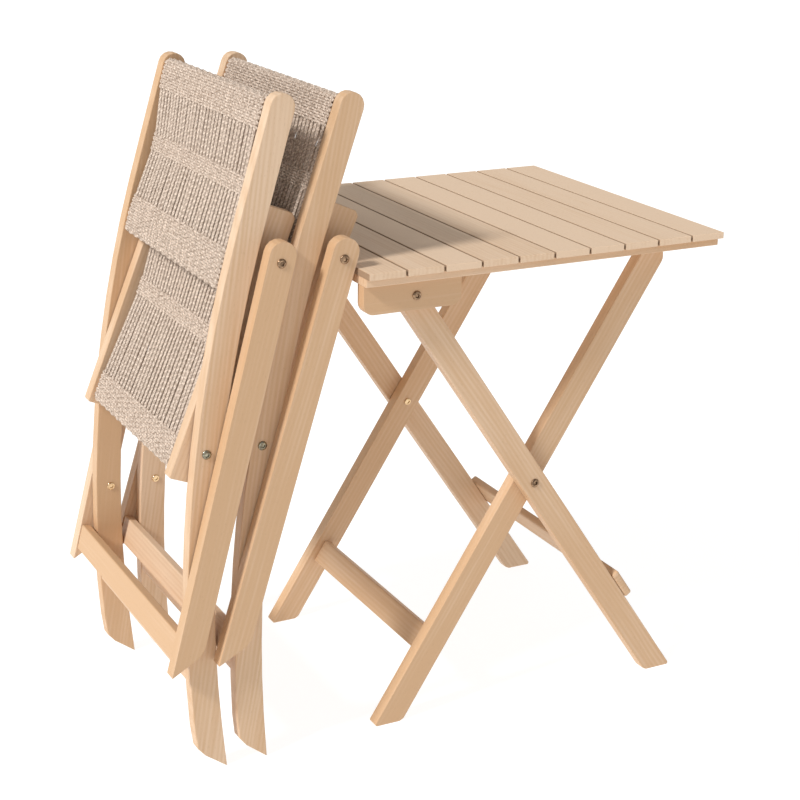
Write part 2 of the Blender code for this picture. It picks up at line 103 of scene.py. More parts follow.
lens = bpy.data.cameras.new("studio_camera")
lens.lens = CAMERA_LENS
lens.sensor_width = SENSOR_WIDE
camera = bpy.data.objects.new("studio_camera", lens)
scene.collection.objects.link(camera)
axes = camera_axes(CAMERA_HEADING, CAMERA_PITCH, CAMERA_ROLL)
camera.matrix_world = Matrix.Translation(CAMERA_PLACE) @ axes.to_4x4()
scene.camera = camera
print(f"camera {CAMERA_PLACE.length:.2f} m from the middle of the floor, lens {lens.lens} mm")

# %% [markdown]
# ## Shader maths as expressions
#
# A procedural finish is mostly arithmetic on patterns. Placing and linking Math nodes by hand
# hides that arithmetic, so a small class wraps a socket and lets Python's operators add the
# nodes. `1 - mask` then reads as it would on paper. Colours and vectors are kept apart from
# plain values: a Math node would turn a colour grey.

# %% Socket expressions


class Sock:
    """A shader socket that can be used in a Python expression."""

    def __init__(self, tree, socket):
        self.tree = tree
        self.socket = socket

    def node(self, kind, settings=None, out=0, **inputs):
        """Adds a node: its settings first, then values or links for its named sockets."""
        made = self.tree.nodes.new(kind)
        for name, value in (settings or {}).items():
            setattr(made, name, value)
        for name, value in inputs.items():
            target = made.inputs[int(name[1:]) if name[1:].isdigit() else name.replace("_", " ")]
            if isinstance(value, Sock):
                self.tree.links.new(value.socket, target)
            else:
                target.default_value = value
        return Sock(self.tree, made.outputs[out])

    def maths(self, operation, *values):
        """A Math node on values or sockets."""
        inputs = {f"i{n}": value for n, value in enumerate(values)}
        return self.node("ShaderNodeMath", {"operation": operation}, **inputs)

    def __add__(self, other):
        return self.maths("ADD", self, other)

    __radd__ = __add__

    def __sub__(self, other):
        return self.maths("SUBTRACT", self, other)

    def __rsub__(self, other):
        return self.maths("SUBTRACT", other, self)

    def __mul__(self, other):
        return self.maths("MULTIPLY", self, other)

    __rmul__ = __mul__

    def sin(self):
        return self.maths("SINE", self)

    def cos(self):
        return self.maths("COSINE", self)

    def absolute(self):
        return self.maths("ABSOLUTE", self)

    def ramp(self, low, high, out_low=0.0, out_high=1.0):
        """Smooth step from out_low to out_high while the value goes from low to high."""
        settings = {"interpolation_type": "SMOOTHSTEP"}
        return self.node("ShaderNodeMapRange", settings, Value=self, From_Min=low, From_Max=high,
                         To_Min=out_low, To_Max=out_high)

    def dot(self, direction):
        """How far a position lies along a direction."""
        return self.node("ShaderNodeVectorMath", {"operation": "DOT_PRODUCT"}, out=1,
                         i0=self, i1=tuple(direction))

    def noise(self, scale, detail=2.0, roughness=0.5):
        """Noise around a position, from 0 to 1."""
        return self.node("ShaderNodeTexNoise", Vector=self, Scale=scale, Detail=detail,
                         Roughness=roughness)

    def mix(self, low, high):
        """Colour low where the value is 0 and colour high where it is 1."""
        return self.node("ShaderNodeMix", {"data_type": "RGBA"}, out=2, i0=self, i6=low, i7=high)

    def bump(self, distance, strength=1.0):
        """A normal that follows the value as a height, distance metres at 1."""
        return self.node("ShaderNodeBump", Height=self, Distance=distance, Strength=strength)


def vector(x, y, z):
    """One vector from three values."""
    return x.node("ShaderNodeCombineXYZ", X=x, Y=y, Z=z)


print("sockets can be added, subtracted, multiplied, ramped, mixed and turned into a bump")

# %% [markdown]
# ## A finish
#
# Every finish here is one Principled shader. What differs is what feeds its sockets, so one
# function makes the bare material and another links expressions to the sockets by name.

# %% Bare material and its sockets


def new_finish(name, coordinate="Object"):
    """A material with a Principled shader: returns it, its shader and its coordinates."""
    finish = bpy.data.materials.new(name)
    finish.use_nodes = True
    tree = finish.node_tree
    tree.nodes.clear()
    shader = tree.nodes.new("ShaderNodeBsdfPrincipled")
    output = tree.nodes.new("ShaderNodeOutputMaterial")
    tree.links.new(shader.outputs[0], output.inputs[0])
    place = tree.nodes.new("ShaderNodeTexCoord")
    return finish, shader, Sock(tree, place.outputs[coordinate])


def feed(shader, **values):
    """Links expressions to the shader's sockets, and sets plain numbers and colours."""
    for name, value in values.items():
        target = shader.inputs[name.replace("_", " ")]
        if isinstance(value, Sock):
            value.tree.links.new(value.socket, target)
        else:
            target.default_value = value


print("finishes are made by new_finish and fed by feed")

# %% [markdown]
# ## Studio
#
# The set stands on a floor that runs out of sight, in soft light. A bright surround lights the
# shaded sides, and a broad sun high on the left gives every board a lit side. A white floor
# would throw so much light back that the undersides turn pale and flat. A grey floor that
# glows throws less back and still looks white, so that is what is used here.

# %% Floor
FLOOR_REACH = 30.0
FLOOR_DIM = (0.34, 0.34, 0.34, 1)
FLOOR_BRIGHT = (0.37, 0.37, 0.37, 1)
FLOOR_CLOUDS = 1.5
FLOOR_GLOW = 0.84
WHITE = (1, 1, 1, 1)

floor_mesh = bpy.data.meshes.new("studio_floor")
sheet = bmesh.new()
bmesh.ops.create_grid(sheet, x_segments=1, y_segments=1, size=FLOOR_REACH)
sheet.to_mesh(floor_mesh)
sheet.free()
floor = bpy.data.objects.new("studio_floor", floor_mesh)
scene.collection.objects.link(floor)

paint, paint_shader, floor_place = new_finish("floor_paint")
floor_grey = floor_place.noise(FLOOR_CLOUDS).mix(FLOOR_DIM, FLOOR_BRIGHT)
feed(paint_shader, Base_Color=floor_grey, Roughness=0.9, Specular_IOR_Level=0.1,
     Emission_Color=WHITE, Emission_Strength=FLOOR_GLOW)
floor_mesh.materials.append(paint)
print(f"studio floor {2 * FLOOR_REACH:.0f} m wide, glow {FLOOR_GLOW}")

# %% Surround and sun
SURROUND_LIGHT = 0.46
SUN_STRENGTH = 2.7
SUN_ANGLE = math.radians(9)
SUN_TINT = (0.98, 0.99, 1.0)
SUN_FROM = Vector((-0.73, -0.17, 0.66))

surround = bpy.data.worlds.new("studio_surround")
surround.use_nodes = True
background = surround.node_tree.nodes["Background"]
background.inputs["Color"].default_value = WHITE
background.inputs["Strength"].default_value = SURROUND_LIGHT
scene.world = surround
scene.view_settings.view_transform = "Standard"

sun = bpy.data.lights.new("key_sun", "SUN")
sun.energy = SUN_STRENGTH
sun.angle = SUN_ANGLE
sun.color = SUN_TINT
sun_object = bpy.data.objects.new("key_sun", sun)
sun_object.rotation_euler = SUN_FROM.to_track_quat("Z", "Y").to_euler()
scene.collection.objects.link(sun_object)
print(f"surround light {SURROUND_LIGHT}, sun {SUN_STRENGTH} from {tuple(SUN_FROM)}")

# %% [markdown]
# ## Which way the grain runs
#
# A board is sawn along the grain, so its streaks run down its longest direction whatever way
# the board leans. The direction could be typed in for each board, but it is already in the
# board's shape: the strongest axis of its vertices is its length, the weakest its thickness.

# %% Board directions
WOOD_WORDS = ("slat", "batten", "bracket", "leg", "stretcher", "post", "bar", "rail", "board")


def board_directions(node):
    """Unit vectors along a board, across it and through it, from the spread of its vertices,
    and where its two sides are along the second one."""
    corners = np.array([corner.co for corner in node.data.vertices])
    directions = np.linalg.eigh(np.cov((corners - corners.mean(0)).T))[1]
    along, across, through = directions.T[::-1]
    sides = corners @ across
    return along, across, through, (float(sides.min()), float(sides.max()))


boards = [name for name in sorted(nodes) if set(name.split("_")) & set(WOOD_WORDS)]
print(f"{len(boards)} of the {len(nodes)} packed pieces are boards")

# %% [markdown]
# ## Beech
#
# The boards are pale beech, with soft warm streaks, faint growth rings and short dark flecks.
# An image of wood would repeat and need unwrapping. Noise needs neither: measured along and
# across the grain and stretched, it turns into streaks. Each board is a plank of its own, so
# it gets its own stretch of the noise and a tone a little off the others. Shade is painted on
# the sawn sides of the slats, where the thin gaps between them lie in shadow, and it draws the
# dark lines between them.

# %% Beech
BEECH_PALE = (0.76, 0.56, 0.39, 1)
BEECH_WARM = (0.61, 0.385, 0.215, 1)
BEECH_FLECK = (0.42, 0.25, 0.13, 1)
# Colour and width of the shade painted on the slats' sawn sides, for the shadowed gaps:
BEECH_PAINTED_GAP_SHADE = (0.22, 0.13, 0.075, 1)
PAINTED_GAP_SHADE_DEEP = 0.0011
SLAT_PAINTED_GAP_SHADE = 0.75
BOARD_TONE_SPREAD = 0.18
SLAT_TONE = -0.30
FRAME_TONE = 0.14
TONE_START = -0.24
PLANK_SHIFT = 3
RING_WIDTH = 0.007
RING_WANDER = 18.0
FLECK_DEPTH = 0.30
# How often each pattern changes in a metre, along the grain and across it.
DRIFT_GRAIN = (2.0, 9.0)
STREAK_GRAIN = (5.0, 120.0)
WANDER_GRAIN = (3.0, 14.0)
FLECK_GRAIN = (160.0, 900.0)
PORE_GRAIN = (500.0, 4200.0)
# How much of the warm colour each pattern brings.
DRIFT_SHARE = 0.75
STREAK_SHARE = 0.55
RING_SHARE = 0.13
plank_choice = np.random.default_rng(7)


def beech(name, along, across, through, sides, painted_side_shade):
    """Pale beech, grain along one direction; the last argument paints shade on its sawn sides."""
    finish, shader, place = new_finish(name)
    start = plank_choice.uniform(-PLANK_SHIFT, PLANK_SHIFT, 3)
    tone = float(plank_choice.uniform(-1, 1)) * BOARD_TONE_SPREAD
    tone += SLAT_TONE if "slat" in name else FRAME_TONE
    length = place.dot(along) + float(start[0])
    width = place.dot(across) + float(start[1])
    depth = place.dot(through) + float(start[2])

    def grain(scales):
        """Position in the board, stretched by one scale along the grain and one across it."""
        return vector(length * scales[0], width * scales[1], depth * scales[1])

    drift = grain(DRIFT_GRAIN).noise(1.0, 3)
    streaks = grain(STREAK_GRAIN).noise(1.0, 4, 0.6)
    wander = grain(WANDER_GRAIN).noise(1.0, 2)
    rings = (width * (2 * math.pi / RING_WIDTH) + wander * RING_WANDER).sin() * 0.5 + 0.5
    flecks = grain(FLECK_GRAIN).noise(1.0, 2).ramp(0.60, 0.74)
    pores = grain(PORE_GRAIN).noise(1.0, 1)

    warmth = drift * DRIFT_SHARE + streaks * STREAK_SHARE + rings * RING_SHARE
    colour = (warmth + (tone + TONE_START)).ramp(0.15, 0.85).mix(BEECH_PALE, BEECH_WARM)
    colour = (flecks * FLECK_DEPTH).mix(colour, BEECH_FLECK)
    # Painted shade: the slats' sawn sides are darkened to stand in for the shadowed gaps between
    # them.
    if painted_side_shade:
        aside = (place.dot(across) - (sides[0] + sides[1]) / 2).absolute()
        edge = (sides[1] - sides[0]) / 2
        colour = (aside.ramp(edge - PAINTED_GAP_SHADE_DEEP, edge) * painted_side_shade).mix(colour, BEECH_PAINTED_GAP_SHADE)
    relief = pores * 0.5 + streaks * 0.5
    feed(shader, Base_Color=colour, Roughness=streaks * 0.16 + 0.44 - flecks * 0.05,
         Normal=relief.bump(0.0003, 0.35), Specular_IOR_Level=0.4)
    return finish


for name in boards:
    shade = SLAT_PAINTED_GAP_SHADE if "slat" in name else 0
    finish = beech(f"beech_{name}", *board_directions(nodes[name]), shade)
    nodes[name].material_slots[0].material = finish
print(f"beech on {len(boards)} boards, growth rings {RING_WIDTH * 1000:.0f} mm apart")

# %% [markdown]
# ## Brass
#
# The bolts, pins and nuts are brass of three ages: bright on the pins and nuts, which a groove
# or a turn has rubbed, cool and dull on the seat bolts, and browned on the rest. One flat colour
# would look like paint. Patches of tint and roughness, and fine scratches, make it metal.

# %% Brass
BRASS_BRIGHT = (0.80, 0.58, 0.34, 1)
BRASS_WARM = (0.55, 0.36, 0.22, 1)
BRASS_COOL = (0.46, 0.45, 0.34, 1)
BRASS_AGED = (0.09, 0.055, 0.035, 1)
PATCH_SCALE = 240.0
SCRATCH_SCALE = 1800.0


def brass(name, fresh, age):
    """Brass, from its fresh tint at age 0 to brown at age 1."""
    finish, shader, place = new_finish(name)
    patches = place.noise(PATCH_SCALE, 3)
    scratches = place.noise(SCRATCH_SCALE, 2)
    browned = (patches + (age - 0.5)).ramp(0.25, 0.85)
    feed(shader, Base_Color=browned.mix(fresh, BRASS_AGED), Metallic=1.0,
         Roughness=browned * 0.2 + scratches * 0.1 + 0.14, Normal=scratches.bump(0.0001, 0.2))
    return finish


aged_brass = brass("aged_brass", BRASS_WARM, 0.58)
cool_brass = brass("cool_brass", BRASS_COOL, 0.55)
bright_brass = brass("bright_brass", BRASS_BRIGHT, 0.1)
print("three brasses:", aged_brass.name, cool_brass.name, bright_brass.name)

# %% [markdown]
# ## Turned metal
#
# A furniture bolt has a low domed head with a hexagonal socket. A cylinder with a bevel would
# give the dome, and a boolean would cut the socket and leave long thin faces. All of it is
# turned round one axis apart from the socket, though. So one function stacks rings of points
# from the floor of the socket out over the dome and down the shank, and a ring may be round or
# six-sided.

# %% Rings into a solid
RING_POINTS = 36
SHARP_ANGLE = math.radians(32)


def ring(radius, height, six_sided):
    """Points of one ring: a circle, or a hexagon that the circle of that radius fits in."""
    points = []
    for step in range(RING_POINTS):
        turn = 2 * math.pi * step / RING_POINTS
        past_corner = (turn + math.pi / 6) % (math.pi / 3) - math.pi / 6
        reach = radius / math.cos(past_corner) if six_sided else radius
        points.append((reach * math.cos(turn), reach * math.sin(turn), height))
    return points


def stacked_rings(name, rings, finish, place, towards, hollow=False):
    """A closed piece through rings of (radius, height, six_sided), standing along towards."""
    shape = bmesh.new()
    loops = [[shape.verts.new(point) for point in ring(*one)] for one in rings]
    following = loops[1:] + loops[:1] if hollow else loops[1:]
    for low, high in zip(loops, following):
        for step in range(RING_POINTS):
            after = (step + 1) % RING_POINTS
            shape.faces.new((low[step], low[after], high[after], high[step]))
    if not hollow:
        shape.faces.new(loops[0][::-1])
        shape.faces.new(loops[-1])
    bmesh.ops.recalc_face_normals(shape, faces=shape.faces)
    turned = Vector(towards).to_track_quat("Z", "X").to_matrix().to_4x4()
    shape.transform(Matrix.Translation(place) @ turned)
    mesh = bpy.data.meshes.new(name)
    shape.to_mesh(mesh)
    shape.free()
    mesh.shade_smooth()
    mesh.set_sharp_from_angle(angle=SHARP_ANGLE)
    mesh.materials.append(finish)
    piece = bpy.data.objects.new(name, mesh)
    scene.collection.objects.link(piece)
    return piece


print(f"rings of {RING_POINTS} points, a multiple of six, so that a hexagon keeps its corners")

# %% Shape of a bolt
SOCKET_ROUND = 0.0031
SOCKET_DEEP = 0.0019
LIP_ROUND = SOCKET_ROUND * 1.25
SOCKET_SHARES = (0.2, 0.97)
LIP_HIGH = 0.0001
DOME_STEPS = 6
EDGE_SHARE = 0.25
UNDER_SHARE = 0.985
TIP_SHARE = 0.8
TIP_LONG = 0.0004


def bolt_rings(head_round, head_high, shank_round, shank_long):
    """Rings of a bolt from the floor of its socket to the tip of its shank."""
    socket = [(SOCKET_ROUND * share, head_high - SOCKET_DEEP, True) for share in SOCKET_SHARES]
    lip = [(SOCKET_ROUND, head_high - LIP_HIGH, True), (LIP_ROUND, head_high, False)]
    dome = []
    for step in range(1, DOME_STEPS + 1):
        lean = math.radians(90 * step / DOME_STEPS)
        dome.append((LIP_ROUND + (head_round - LIP_ROUND) * math.sin(lean),
                     head_high * (EDGE_SHARE + (1 - EDGE_SHARE) * math.cos(lean)), False))
    under = [(head_round * UNDER_SHARE, 0.0, False), (shank_round, 0.0, False)]
    shank = [(shank_round, TIP_LONG - shank_long, False),
             (shank_round * TIP_SHARE, -shank_long, False)]
    return socket + lip + dome + under + shank


print(f"bolt socket {2000 * SOCKET_ROUND:.1f} mm across and {1000 * SOCKET_DEEP:.1f} mm deep")

# %% [markdown]
# ## The twelve bolts
#
# Each packed bolt is a plain head and shank. Its box says how wide and long it is and which
# board it stands on, so the detailed bolt is measured from it and takes its place.

# %% Bolts
HEAD_HIGH = 0.0024
SHANK_ROUND = 0.0030
SIDES = {"near": -1, "far": 1}


def centre(name):
    """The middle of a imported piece's box."""
    low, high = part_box(name)
    return (Vector(low) + Vector(high)) / 2


def outer_face(name, side):
    """Where a piece ends on its own side of the set, from the middle outwards."""
    low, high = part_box(name)
    return low[1] if side < 0 else high[1]


def inner_face(name, side):
    """Where a piece ends towards the middle of the set."""
    return outer_face(name, -side)


for name in sorted(node for node in nodes if "bolt" in node):
    low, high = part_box(name)
    side = SIDES[name.rsplit("_", 1)[1]]
    middle = centre(name)
    place = Vector((middle.x, outer_face(name, side) - side * HEAD_HIGH, middle.z))
    length = high[1] - low[1] - HEAD_HIGH
    rings = bolt_rings((high[0] - low[0]) / 2, HEAD_HIGH, SHANK_ROUND, length)
    finish = cool_brass if "seat_bolt" in name else aged_brass
    bolt = stacked_rings(f"{name}_detail", rings, finish, place, (0, side, 0))
    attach(bolt, nodes[name]["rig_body"])
    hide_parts(name)
    print(f"{bolt.name}: {length * 1000:.0f} mm under the head")

# %% [markdown]
# ## Pins, nuts and spacers
#
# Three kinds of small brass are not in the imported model. A pin in each post runs along the
# rear leg when the chair folds. A nut on the inner face of each inner table leg holds the
# crossing bolt. A short tube round each front bolt keeps the rear leg and the seat rail the
# thickness of a post apart. They are turned too, so the same rings make them, and each takes
# its place from the boards and bolts it belongs to. Then it follows them at any size.

# %% Nuts
NUT_ROUND = 0.0060
NUT_HIGH = 0.0016
NUT_COLLAR = 0.9
CLEAR = 0.0003


def add_nut(side_name, side):
    """A nut on the inner face of an inner table leg, on the crossing bolt's axis."""
    bolt_middle = centre(f"table_cross_bolt_{side_name}")
    face = inner_face(f"table_inner_leg_{side_name}", side)
    place = Vector((bolt_middle.x, face - 2 * side * CLEAR, bolt_middle.z))
    rings = bolt_rings(NUT_ROUND, NUT_HIGH, NUT_ROUND * NUT_COLLAR, 2 * CLEAR)
    nut = stacked_rings(f"table_cross_nut_{side_name}", rings, bright_brass, place, (0, -side, 0))
    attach(nut, "table_inner_frame")


print(f"nuts {2000 * NUT_ROUND:.0f} mm across")

# %% Pins
PIN_ROUND = 0.0064
PIN_HIGH = 0.0018
PIN_SHANK = 0.0035
PIN_PAST_POST = 0.0020
PIN_DOWN = 0.1833
PIN_ASIDE = 0.0626


def add_pin(chair, side_name, side):
    """A pin through a post, placed from the line between the seat's two bolts."""
    seat_bolt = centre(f"{chair}_seat_bolt_{side_name}")
    front_bolt = centre(f"{chair}_front_bolt_{side_name}")
    up_seat = Vector((front_bolt.x - seat_bolt.x, 0, front_bolt.z - seat_bolt.z)).normalized()
    to_right = Vector((up_seat.z, 0, -up_seat.x))
    post = f"{chair}_post_{side_name}"
    low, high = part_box(post)
    place = seat_bolt - up_seat * PIN_DOWN + to_right * PIN_ASIDE
    place.y = inner_face(post, side) - side * CLEAR
    rings = bolt_rings(PIN_ROUND, PIN_HIGH, PIN_SHANK, high[1] - low[1] + PIN_PAST_POST)
    name = f"{chair}_slide_pin_{side_name}"
    pin = stacked_rings(name, rings, bright_brass, place, (0, -side, 0))
    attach(pin, nodes[post]["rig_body"])


print(f"pins {1000 * PIN_DOWN:.0f} mm below the seat bolts along the folded seat")

# %% Spacers
TUBE_INSIDE = 0.0036
TUBE_OUTSIDE = 0.0055


def add_spacer(chair, side_name, side):
    """A tube round a front bolt, between the rear leg and the seat rail."""
    bolt_middle = centre(f"{chair}_front_bolt_{side_name}")
    leg = f"{chair}_rear_leg_{side_name}"
    leg_face = inner_face(leg, side)
    rail_face = outer_face(f"{chair}_seat_rail_{side_name}", side)
    place = Vector((bolt_middle.x, (leg_face + rail_face) / 2, bolt_middle.z))
    half = abs(leg_face - rail_face) / 2 - CLEAR
    rings = [(TUBE_OUTSIDE, -half, False), (TUBE_OUTSIDE, half, False),
             (TUBE_INSIDE, half, False), (TUBE_INSIDE, -half, False)]
    name = f"{chair}_spacer_{side_name}"
    tube = stacked_rings(name, rings, aged_brass, place, (0, 1, 0), hollow=True)
    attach(tube, nodes[leg]["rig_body"])


print(f"spacer walls {1000 * (TUBE_OUTSIDE - TUBE_INSIDE):.1f} mm thick")

# %% Small brass on both sides
CHAIRS = ("chair_1", "chair_2")

for side_name, side in SIDES.items():
    add_nut(side_name, side)
    for chair in CHAIRS:
        add_pin(chair, side_name, side)
        add_spacer(chair, side_name, side)
print("2 nuts, 4 pins, 4 spacers")

# %% [markdown]
# ## Woven cord
#
# The seats and backs are wound from a thin cord of two twisted yarns, one cream and one taupe.
# Pairs of cord run from bar to bar on both faces of the panel and turn round each bar. Near
# the bars and across the middle another cord is woven over and under those pairs, row by row.
# The middle rows draw both faces together, so the panel has a waist and a shallow valley.
#
# A curve with a round bevel would give smooth pipes. The twist matters here, because it is
# what makes the surface glitter, so a tube is built point by point instead: a ring of six
# points whose two opposite lobes turn slowly on the way along the cord.

# %% Even steps along a line
CORD_STEP = 0.0018
FEWEST_STEPS = 8


def evenly(points, outward, closed):
    """The same line through evenly spaced points about one step apart, with its normals."""
    if closed:
        points = np.vstack([points, points[:1]])
        outward = np.vstack([outward, outward[:1]])
    distance = np.concatenate([[0], np.cumsum(np.linalg.norm(np.diff(points, axis=0), axis=1))])
    count = max(FEWEST_STEPS, int(round(distance[-1] / CORD_STEP)))
    stops = np.linspace(0, distance[-1], count, endpoint=not closed)
    line = np.stack([np.interp(stops, distance, points[:, axis]) for axis in range(3)], 1)
    normal = np.stack([np.interp(stops, distance, outward[:, axis]) for axis in range(3)], 1)
    return line, normal, distance[-1]


print(f"a point every {CORD_STEP * 1000:.1f} mm of cord")

# %% A twisted cord
CORD_ROUND = 0.0019
CORD_LAY = 0.0090
CORD_LOBE = 0.09
CORD_SIDES = 6


def twisted(points, outward, closed, start):
    """Vertices, quads, end caps and quad UVs of one twisted cord along a line of points."""
    line, normal, length = evenly(points, outward, closed)
    count = len(line)
    if closed:
        forward = np.roll(line, -1, 0) - np.roll(line, 1, 0)
    else:
        forward = np.gradient(line, axis=0)
    forward /= np.linalg.norm(forward, axis=1, keepdims=True)
    up = normal - (normal * forward).sum(1, keepdims=True) * forward
    up /= np.linalg.norm(up, axis=1, keepdims=True)
    side = np.cross(forward, up)
    steps_long = count if closed else count - 1
    turns = round(length / CORD_LAY) * np.arange(count) / steps_long + start
    angle = 2 * np.pi * np.arange(CORD_SIDES) / CORD_SIDES
    lobes = np.cos(2 * (angle[None] - 2 * np.pi * turns[:, None]))
    reach = CORD_ROUND * (1 + CORD_LOBE * lobes)
    spokes = (np.cos(angle)[None, :, None] * up[:, None]
              + np.sin(angle)[None, :, None] * side[:, None])
    vertices = (line[:, None] + reach[..., None] * spokes).reshape(-1, 3)

    here, around = np.meshgrid(np.arange(steps_long), np.arange(CORD_SIDES), indexing="ij")
    after = (here + 1) % count
    next_around = (around + 1) % CORD_SIDES
    quads = np.stack([here * CORD_SIDES + around, here * CORD_SIDES + next_around,
                      after * CORD_SIDES + next_around, after * CORD_SIDES + around], -1)
    turn_here = turns[here]
    turn_next = turn_here + (turns[1] - turns[0])
    u_here = around / CORD_SIDES
    u_next = (around + 1) / CORD_SIDES
    corners = [(u_here, turn_here), (u_next, turn_here), (u_next, turn_next), (u_here, turn_next)]
    uv = np.stack([np.stack(corner, -1) for corner in corners], -2)
    caps = []
    if not closed:
        caps = [list(range(CORD_SIDES))[::-1],
                list(range((count - 1) * CORD_SIDES, count * CORD_SIDES))]
    return vertices, quads.reshape(-1, 4), caps, uv.reshape(-1, 2)


print(f"cord {CORD_ROUND * 2000:.1f} mm thick, a full twist every {CORD_LAY * 1000:.0f} mm")

# %% [markdown]
# ## Cords into one piece
#
# A panel has some hundred metres of cord. One object for each cord would be slow to handle, so
# the cords of a part of the panel are joined into one mesh. Its UV map holds how far round the
# cord and how many twists along it a point is, which the finish needs to tell the yarns apart.

# %% Cords into one piece
TWIST_UV = "twist"


def cord_piece(name, cords, finish):
    """One mesh piece from several cords, each (points, outward normals, closed, start turn)."""
    vertices = []
    quads = []
    caps = []
    uvs = []
    first = 0
    for cord in cords:
        made, faces, ends, uv = twisted(*cord)
        vertices.append(made)
        quads.append(faces + first)
        caps += [[corner + first for corner in end] for end in ends]
        uvs.append(uv)
        first += len(made)
    faces = np.concatenate(quads).tolist() + caps
    mesh = bpy.data.meshes.new(name)
    mesh.from_pydata(np.concatenate(vertices), [], faces)
    twist = mesh.uv_layers.new(name=TWIST_UV)
    flat = np.zeros((len(mesh.loops), 2), np.float32)
    flat[:sum(len(uv) for uv in uvs)] = np.concatenate(uvs)
    twist.data.foreach_set("uv", flat.ravel())
    mesh.shade_smooth()
    mesh.materials.append(finish)
    piece = bpy.data.objects.new(name, mesh)
    scene.collection.objects.link(piece)
    return piece


print(f"cords carry their twist in the UV map {TWIST_UV}")

# %% [markdown]
# ## Melange cord
#
# The cord's two yarns differ in tone and each is flecked with the other's, so from afar the
# weave reads as one speckled beige. A plain beige would look like plastic. A cosine round the
# cord, which follows the twist, gives the two yarns, noise gives the flecks, and shade is painted
# into the crevices between the yarns, where they lie in shadow.

# %% Cord colours
CORD_CREAM = (0.80, 0.66, 0.545, 1)
CORD_TAUPE = (0.32, 0.235, 0.175, 1)
# The colour of the shade painted into the grooves between the yarns:
CORD_CREVICE_SHADOW = (0.12, 0.08, 0.055, 1)
YARN_SHARE = 0.12
FLECK_SHARE = 1.5
FINE_SHARE = 0.6
FLECK_SCALE = 400.0
FINE_SCALE = 1400.0
CREVICE_PAINTED_SHADE = 0.40


def melange():
    """Two yarns of different tones, each flecked with the other's."""
    finish, shader, twist = new_finish("melange_cord", "UV")
    place = Sock(twist.tree, twist.socket.node.outputs["Object"])
    around = twist.dot((1, -1, 0))
    yarn = (around * (2 * math.pi)).cos()
    flecks = place.noise(FLECK_SCALE, 2)
    fine = place.noise(FINE_SCALE, 2)
    tone = yarn * YARN_SHARE + flecks * FLECK_SHARE + fine * FINE_SHARE - 1.0
    colour = tone.ramp(-0.45, 0.45).mix(CORD_TAUPE, CORD_CREAM)
    # Painted shade along the grooves between the two twisted yarns.
    painted_crevice_shade = (around * (4 * math.pi)).cos().ramp(-1.0, -0.55, 1.0, 0.0)
    colour = (painted_crevice_shade * CREVICE_PAINTED_SHADE).mix(colour, CORD_CREVICE_SHADOW)
    feed(shader, Base_Color=colour, Roughness=fine * 0.2 + 0.7, Specular_IOR_Level=0.25,
         Normal=(fine + flecks).bump(0.0004, 0.5))
    return finish


melange_cord = melange()
print(f"{melange_cord.name}: {len(melange_cord.node_tree.nodes)} shader nodes")

# %% [markdown]
# ## The line a pair of cords follows
#
# Seen from the side, a cord makes a flat loop round two bars. Its faces fall in a straight
# line from each bar to the waist in the middle, because the cord is taut. A cloth simulation
# could find this line, but it is known, so one class gives it for a panel: as distances along
# the panel and out from its middle plane. The woven rows later lie on that same loop.

# %% Panel frame and loop
BAR_HALF_THICK = 0.008
BAR_HALF_WIDE = 0.016
LAYER_OUT = BAR_HALF_THICK + CORD_ROUND + 0.0008
END_OUT = BAR_HALF_WIDE + CORD_ROUND
END_CORNER = 0.006
CORNER_POINTS = 7
FACE_POINTS = 60
WAIST_OUT = 0.0036
WAIST_HALF_LONG = 0.011
WAIST_DRAW = 0.011
SLOPE_STEP = 0.001
TOO_CLOSE = 1e-6


